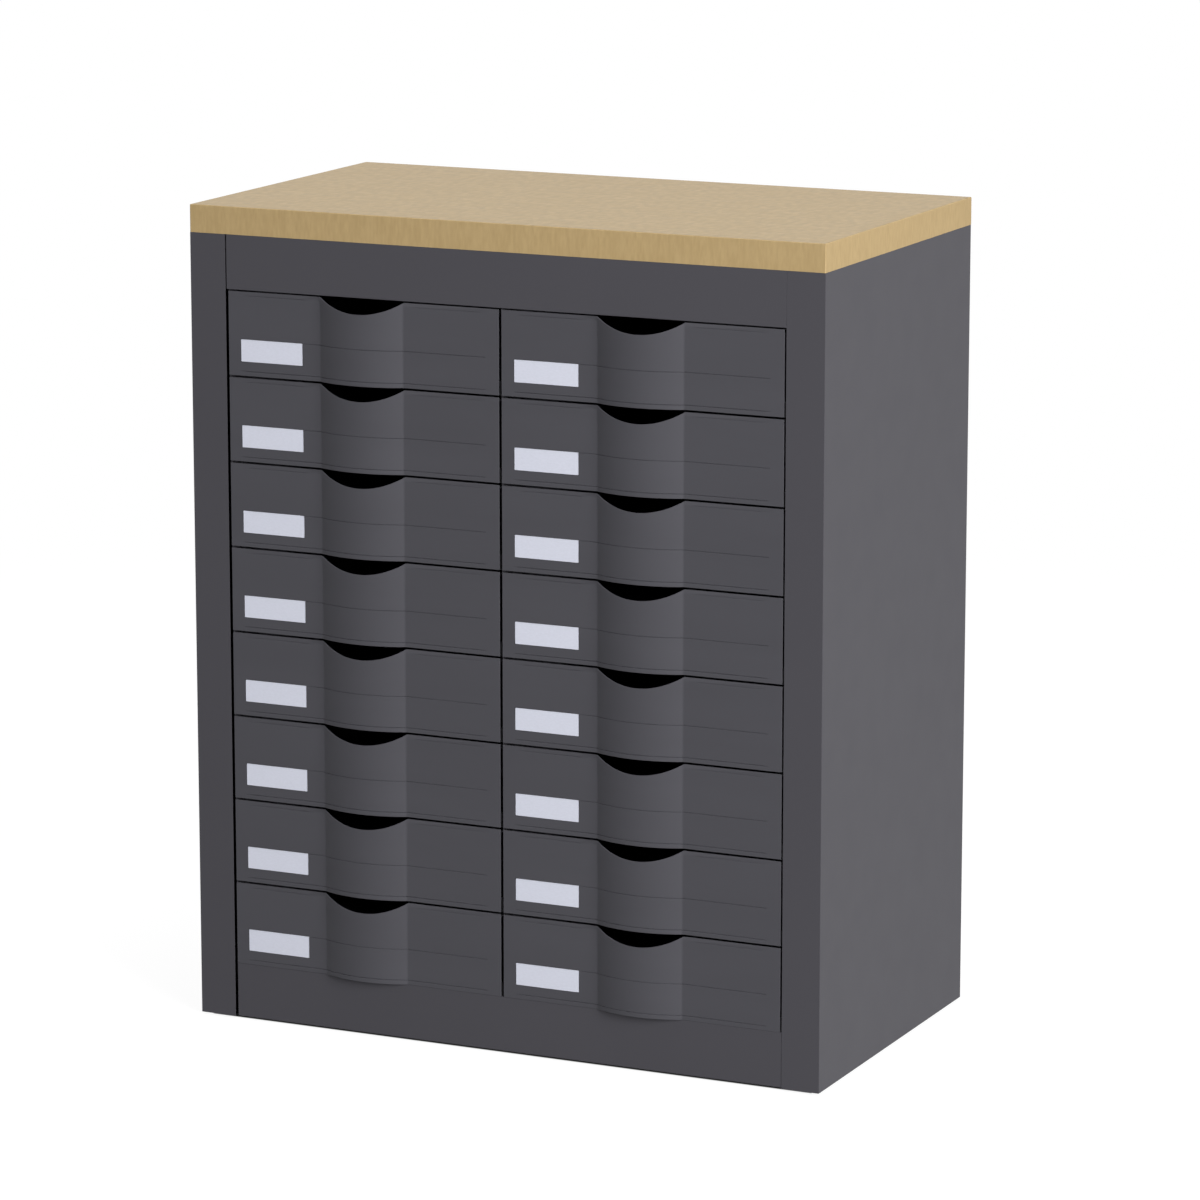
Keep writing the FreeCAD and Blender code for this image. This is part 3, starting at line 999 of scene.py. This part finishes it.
def new_finish(name, colour, roughness, specular, metallic=0.0):
    """A material with its shader's plain values set."""
    finish = bpy.data.materials.new(name)
    finish.use_nodes = True
    shader = finish.node_tree.nodes["Principled BSDF"]
    shader.inputs["Base Color"].default_value = (*colour, 1)
    shader.inputs["Roughness"].default_value = roughness
    shader.inputs["Specular IOR Level"].default_value = specular
    shader.inputs["Metallic"].default_value = metallic
    return finish


def stretched_noise(finish, scale, stretch=(1, 1, 1), detail=2.0):
    """Noise on the piece's own coordinates, denser along an axis the more it is stretched."""
    nodes, links = finish.node_tree.nodes, finish.node_tree.links
    coordinates = nodes.new("ShaderNodeTexCoord")
    mapping = nodes.new("ShaderNodeMapping")
    mapping.inputs["Scale"].default_value = stretch
    noise = nodes.new("ShaderNodeTexNoise")
    noise.inputs["Scale"].default_value = scale
    noise.inputs["Detail"].default_value = detail
    links.new(coordinates.outputs["Object"], mapping.inputs["Vector"])
    links.new(mapping.outputs["Vector"], noise.inputs["Vector"])
    return noise.outputs["Fac"]


def soft_noise(finish, scale, stretch=(1, 1, 1), detail=2.0, out=(0, 1)):
    """The middle part of a noise, spread over a range."""
    noise = stretched_noise(finish, scale, stretch, detail)
    return ranged(finish.node_tree, noise, *NOISE_MIDDLE, *out)


def blend(finish, amount, first, second):
    """A colour between two others. Each is a plain colour or another node's output."""
    node = finish.node_tree.nodes.new("ShaderNodeMix")
    node.data_type = "RGBA"
    finish.node_tree.links.new(amount, node.inputs["Factor"])
    for name, colour in (("A", first), ("B", second)):
        socket = [s for s in node.inputs if s.name == name and s.type == "RGBA"][0]
        if isinstance(colour, bpy.types.NodeSocket):
            finish.node_tree.links.new(colour, socket)
        else:
            socket.default_value = (*colour, 1)
    return [s for s in node.outputs if s.type == "RGBA"][0]


def scaled(colour, share):
    """A colour made lighter or darker."""
    return [part * share for part in colour]


def shaded(finish, amount, colour, darkest, lightest):
    """One colour between two shares of its lightness."""
    return blend(finish, amount, scaled(colour, darkest), scaled(colour, lightest))


def connect(finish, value, name):
    """Leads a value to one of the shader's sockets."""
    shader = finish.node_tree.nodes["Principled BSDF"]
    finish.node_tree.links.new(value, shader.inputs[name])


def emboss(finish, height, strength, depth):
    """Gives a finish its fine relief."""
    bump = finish.node_tree.nodes.new("ShaderNodeBump")
    bump.inputs["Strength"].default_value = strength
    bump.inputs["Distance"].default_value = depth
    finish.node_tree.links.new(height, bump.inputs["Height"])
    connect(finish, bump.outputs["Normal"], "Normal")


def powder_coat(name, colour):
    """Stoved powder coat: an even colour with a fine orange peel."""
    finish = new_finish(name, colour, roughness=0.5, specular=0.15)
    cloud = soft_noise(finish, scale=9.0)
    sheen = soft_noise(finish, scale=35.0, out=(0.485, 0.515))
    peel = stretched_noise(finish, scale=1100.0, detail=1.0)
    connect(finish, shaded(finish, cloud, colour, darkest=0.99, lightest=1.01), "Base Color")
    connect(finish, sheen, "Roughness")
    emboss(finish, peel, strength=0.12, depth=0.0002)
    return finish


def moulded_plastic(name, colour):
    """Moulded plastic with a fine spark texture and faint flow marks across the face."""
    finish = new_finish(name, colour, roughness=0.5, specular=0.15)
    flow = soft_noise(finish, scale=5.0, stretch=(1, 1, 6), detail=3.0)
    sheen = soft_noise(finish, scale=60.0, out=(0.46, 0.53))
    spark = stretched_noise(finish, scale=2200.0)
    connect(finish, shaded(finish, flow, colour, darkest=0.97, lightest=1.03), "Base Color")
    connect(finish, sheen, "Roughness")
    emboss(finish, spark, strength=0.15, depth=0.0001)
    return finish


def wood_face(name, light, dark):
    """Beech-like laminate: small soft blotches, short dark flecks and fine pores along the length."""
    finish = new_finish(name, light, roughness=0.45, specular=0.5)
    tree = finish.node_tree
    blotch = soft_noise(finish, scale=160.0, stretch=(1, 0.55, 1), detail=1.0)
    grain = soft_noise(finish, scale=90.0, stretch=(0.5, 6, 6), detail=4.0)
    fleck_noise = stretched_noise(finish, scale=150.0, stretch=(0.8, 5, 5))
    flecks = ranged(tree, fleck_noise, low=0.6, high=0.75, out_low=0, out_high=0.5)
    ground = shaded(finish, blotch, light, darkest=0.80, lightest=1.13)
    grained = blend(finish, grain, ground, scaled(light, share=0.94))
    connect(finish, blend(finish, flecks, grained, dark), "Base Color")
    connect(finish, ranged(tree, grain, low=0, high=1, out_low=0.43, out_high=0.49), "Roughness")
    emboss(finish, grain, strength=0.08, depth=0.0002)
    return finish


def wood_band(name, light, dark):
    """Edge band with upright streaks of uneven width."""
    finish = new_finish(name, light, roughness=0.55, specular=0.5)
    broad = soft_noise(finish, scale=120.0, stretch=(1, 1, 0.05))
    fine = soft_noise(finish, scale=400.0, stretch=(1, 1, 0.22), detail=1.5)
    streaks = ranged(finish.node_tree, fine, low=0, high=1, out_low=0.05, out_high=0.7)
    ground = shaded(finish, broad, light, darkest=0.99, lightest=1.03)
    connect(finish, blend(finish, streaks, ground, scaled(dark, share=0.97)), "Base Color")
    emboss(finish, fine, strength=0.08, depth=0.0002)
    return finish


def paper(name, colour):
    """Smooth card with a faint fibre."""
    finish = new_finish(name, colour, roughness=0.6, specular=0.4)
    fibre = soft_noise(finish, scale=700.0, stretch=(0.5, 1, 1), detail=4.0)
    connect(finish, shaded(finish, fibre, colour, darkest=0.97, lightest=1.02), "Base Color")
    emboss(finish, fibre, strength=0.05, depth=0.0001)
    return finish


def plated(name, colour):
    """Zinc plating with fine turning marks."""
    finish = new_finish(name, colour, roughness=0.35, specular=0.5, metallic=1.0)
    marks = soft_noise(finish, scale=900.0, stretch=(1, 1, 0.2), out=(0.28, 0.42))
    connect(finish, marks, "Roughness")
    return finish


# Each finish with what makes it and the colours that it takes
FINISHES = {
    "paint": (powder_coat, "paint"),
    "plastic": (moulded_plastic, "plastic"),
    "wood_face": (wood_face, "wood_light", "wood_dark"),
    "wood_band": (wood_band, "wood_light", "wood_dark"),
    "card": (paper, "card"),
    "runner": (powder_coat, "runner"),
    "zinc": (plated, "zinc"),
    "glide": (moulded_plastic, "glide"),
}


def finish_of(name):
    """One of the finishes, made when it is first needed."""
    found = bpy.data.materials.get(name)
    if found:
        return found
    make, *colours = FINISHES[name]
    settings = bpy.context.scene.finish_colours
    return make(name, *[getattr(settings, colour) for colour in colours])


def coat(names, finish):
    """Gives kept nodes their finish."""
    for name in names:
        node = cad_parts[name]
        node.material_slots[0].material = finish_of(finish)


# Stage


def add_softbox(name, azimuth, elevation, power, settings):
    """A square softbox that looks at the object, in degrees right of its front and above its middle."""
    turn, rise = math.radians(azimuth), math.radians(elevation)
    toward = Vector((math.cos(rise) * math.sin(turn), -math.cos(rise) * math.cos(turn), math.sin(rise)))
    bpy.ops.object.light_add(
        type="AREA", location=Vector((0, 0, cad_high.z / 2)) + toward * settings.light_distance,
        rotation=toward.to_track_quat("Z", "Y").to_euler(),
    )
    light = bpy.context.object
    light.name = name
    light.data.shape = "SQUARE"
    light.data.size = settings.light_size
    light.data.energy = power


def computed(tree, operation, *values):
    """What a Math node makes of one value or two."""
    node = tree.nodes.new("ShaderNodeMath")
    node.operation = operation
    for value, socket in zip(values, node.inputs):
        tree.links.new(value, socket)
    return node.outputs["Value"]


def mixed(tree, share, first, second):
    """One surface that turns into another as a share goes from 0 to 1."""
    node = tree.nodes.new("ShaderNodeMixShader")
    for value, socket in zip((share, first, second), node.inputs):
        tree.links.new(value, socket)
    return node.outputs["Shader"]


def seen_ray(tree):
    """At least 1 for what the camera, a gloss or a glass shows, and 0 for light that falls on something."""
    path = tree.nodes.new("ShaderNodeLightPath")
    seen = computed(tree, "ADD", path.outputs["Is Camera Ray"], path.outputs["Is Glossy Ray"])
    return computed(tree, "ADD", seen, path.outputs["Is Transmission Ray"])


def glow(tree, unseen, seen):
    """Even light from a surface, of one strength where it lights things and another where it shows."""
    emission = tree.nodes.new("ShaderNodeEmission")
    strength = ranged(tree, seen_ray(tree), low=0, high=1, out_low=unseen, out_high=seen)
    tree.links.new(strength, emission.inputs["Strength"])
    return emission.outputs["Emission"]


def beside(tree, position, half_x, half_y, edge):
    """0 under the middle of the object and 1 beside it, turning over a narrow edge."""
    parts = tree.nodes.new("ShaderNodeSeparateXYZ")
    tree.links.new(position, parts.inputs["Vector"])
    shares = []
    for name, half in (("X", half_x), ("Y", half_y)):
        reach = computed(tree, "ABSOLUTE", parts.outputs[name])
        shares.append(ranged(tree, reach, low=half - edge, high=half, out_low=0, out_high=1))
    return computed(tree, "MAXIMUM", *shares)


def floor_finish(settings):
    """Pale floor with the object's shadow, lifted to white for the view and all white further out."""
    finish = bpy.data.materials.new("floor")
    finish.use_nodes = True
    tree = finish.node_tree
    tree.nodes.clear()
    diffuse = tree.nodes.new("ShaderNodeBsdfDiffuse")
    grey = settings.floor_colour
    diffuse.inputs["Color"].default_value = (grey, grey, grey, 1)
    lifted = tree.nodes.new("ShaderNodeAddShader")
    tree.links.new(diffuse.outputs["BSDF"], lifted.inputs[0])
    tree.links.new(glow(tree, 0, settings.floor_lift), lifted.inputs[1])
    position = tree.nodes.new("ShaderNodeTexCoord").outputs["Object"]
    half_x, half_y = side_high.x, (side_high.y - side_low.y) / 2
    inset = settings.foot_shade
    around = beside(tree, position, half_x - inset, half_y - inset, settings.foot_fade)
    near = mixed(tree, around, diffuse.outputs["BSDF"], lifted.outputs["Shader"])
    distance = tree.nodes.new("ShaderNodeVectorMath")
    distance.operation = "LENGTH"
    tree.links.new(position, distance.inputs[0])
    room = settings.shadow_room
    away = ranged(tree, distance.outputs["Value"], room, 2 * room, 0, 1, curve="SMOOTHSTEP")
    out = tree.nodes.new("ShaderNodeOutputMaterial")
    tree.links.new(mixed(tree, away, near, glow(tree, settings.fill, 1)), out.inputs["Surface"])
    return finish


def white_world(settings):
    """White to the view and in reflections, and a soft fill for what it lights."""
    world = bpy.data.worlds.new("studio")
    bpy.context.scene.world = world
    world.use_nodes = True
    tree = world.node_tree
    background = tree.nodes["Background"]
    background.inputs["Color"].default_value = (1, 1, 1, 1)
    strength = ranged(tree, seen_ray(tree), low=0, high=1, out_low=settings.fill, out_high=1)
    tree.links.new(strength, background.inputs["Strength"])


def add_camera(settings):
    """The camera at the photograph's angle."""
    bpy.ops.object.camera_add(
        location=settings.camera_place,
        rotation=(math.pi / 2 - settings.camera_elevation, 0, settings.camera_azimuth),
    )
    camera = bpy.context.object
    camera.name = "view"
    camera.data.lens = settings.lens
    camera.data.clip_start, camera.data.clip_end = VIEW_RANGE
    bpy.context.scene.camera = camera


# Operators


class STATION_OT_case(bpy.types.Operator):
    """Folds the case's side panels and rails, and coats its other sheets, runners, screws and glides"""

    bl_idname = "station.case"
    bl_label = "Case"

    def execute(self, context):
        sizes = context.scene.panel_sizes
        for name, side, trim in (
            ("left_side_panel", -1, sizes.left_trim), ("right_side_panel", 1, sizes.right_trim),
        ):
            place(side_panel(name, side, trim, sizes), CASE_BODY, name, "case_paint", "paint")
        for rail, name in cross_rails(sizes, context.scene.drawer_sizes.foot_trim):
            place(rail, CASE_BODY, name, "case_paint", "paint")
        sheets = ["base_panel", "top_panel", "back_panel", "left_liner", "right_liner", "centre_partition"]
        coat(sheets, "paint")
        runners = [f"{column}_{side}_runners" for column in COLUMNS for side in ("outer", "inner")]
        coat(runners, "runner")
        coat(["worktop_screws"], "zinc")
        coat(["floor_glides"], "glide")
        return {"FINISHED"}


class STATION_OT_worktop(bpy.types.Operator):
    """Finishes the worktop's board and models its edge bands"""

    bl_idname = "station.worktop"
    bl_label = "Worktop"

    def execute(self, context):
        coat(["worktop_board"], "wood_face")
        bands = edge_bands(context.scene.worktop_sizes)
        place(bands, CASE_BODY, "worktop_edging", "edging_wood", "wood_band")
        return {"FINISHED"}


def fill_case(master, ending, node_ending, slot, finish):
    """Copies a master piece to every drawer and puts each copy in its node's stead."""
    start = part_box(MASTER + node_ending)[0]
    for column in COLUMNS:
        for row in ROWS:
            drawer = f"{column}_drawer_{row}"
            node = drawer + node_ending
            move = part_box(node)[0] - start
            piece = master if drawer == MASTER else copy_piece(master, drawer + ending, move)
            place(piece, drawer, node, slot, finish)


class STATION_OT_drawers(bpy.types.Operator):
    """Models one drawer and copies it to every place in the case"""

    bl_idname = "station.drawers"
    bl_label = "Drawers"

    def execute(self, context):
        sizes = context.scene.drawer_sizes
        moulding = drawer_front(sizes)
        unite(moulding, tray(sizes))
        smooth(moulding, DRAWER_SMOOTH)
        fill_case(moulding, "_moulding", "", "drawer_plastic", "plastic")
        return {"FINISHED"}


class STATION_OT_cards(bpy.types.Operator):
    """Models one label card and copies it to every drawer"""

    bl_idname = "station.cards"
    bl_label = "Label cards"

    def execute(self, context):
        fill_case(label_card(context.scene.card_sizes), "_card", "_label", "label_card", "card")
        return {"FINISHED"}


class STATION_OT_stage(bpy.types.Operator):
    """Adds the pale floor, the studio light and the camera"""

    bl_idname = "station.stage"
    bl_label = "Stage"

    def execute(self, context):
        settings = context.scene.stage_settings
        bpy.ops.object.select_all(action="DESELECT")
        bpy.ops.mesh.primitive_plane_add(size=settings.floor_size)
        floor = context.object
        floor.name = "floor"
        floor.data.materials.append(floor_finish(settings))
        white_world(settings)
        for name, power in (
            ("front", settings.front_power), ("key", settings.key_power),
            ("top", settings.top_power), ("rear", settings.rear_power),
        ):
            add_softbox(name, *SOFTBOXES[name], power, settings)
        add_camera(settings)
        context.scene.view_settings.view_transform = "Standard"
        return {"FINISHED"}


class STATION_PT_panel(bpy.types.Panel):
    """Lists the steps that build the station"""

    bl_idname = "STATION_PT_panel"
    bl_label = "Drawer sorting station"
    bl_space_type = "VIEW_3D"
    bl_region_type = "UI"
    bl_category = "Station"

    def draw(self, context):
        for step in STEPS:
            self.layout.operator(step.bl_idname)


STEPS = (STATION_OT_case, STATION_OT_worktop, STATION_OT_drawers, STATION_OT_cards, STATION_OT_stage)
SETTINGS = {
    "panel_sizes": PanelSizes,
    "drawer_sizes": DrawerSizes,
    "worktop_sizes": WorktopSizes,
    "card_sizes": CardSizes,
    "finish_colours": FinishColours,
    "stage_settings": StageSettings,
}


def register():
    """Registers the settings, the steps and the panel."""
    for name, group in SETTINGS.items():
        bpy.utils.register_class(group)
        setattr(bpy.types.Scene, name, PointerProperty(type=group))
    for each in (*STEPS, STATION_PT_panel):
        bpy.utils.register_class(each)


def unregister():
    """Takes them out again."""
    for each in (STATION_PT_panel, *reversed(STEPS)):
        bpy.utils.unregister_class(each)
    for name, group in reversed(SETTINGS.items()):
        delattr(bpy.types.Scene, name)
        bpy.utils.unregister_class(group)


def main():
    """Builds the station step by step."""
    register()
    bpy.ops.station.case()
    bpy.ops.station.worktop()
    bpy.ops.station.drawers()
    bpy.ops.station.cards()
    bpy.ops.station.stage()


if __name__ == "__main__":
    main()
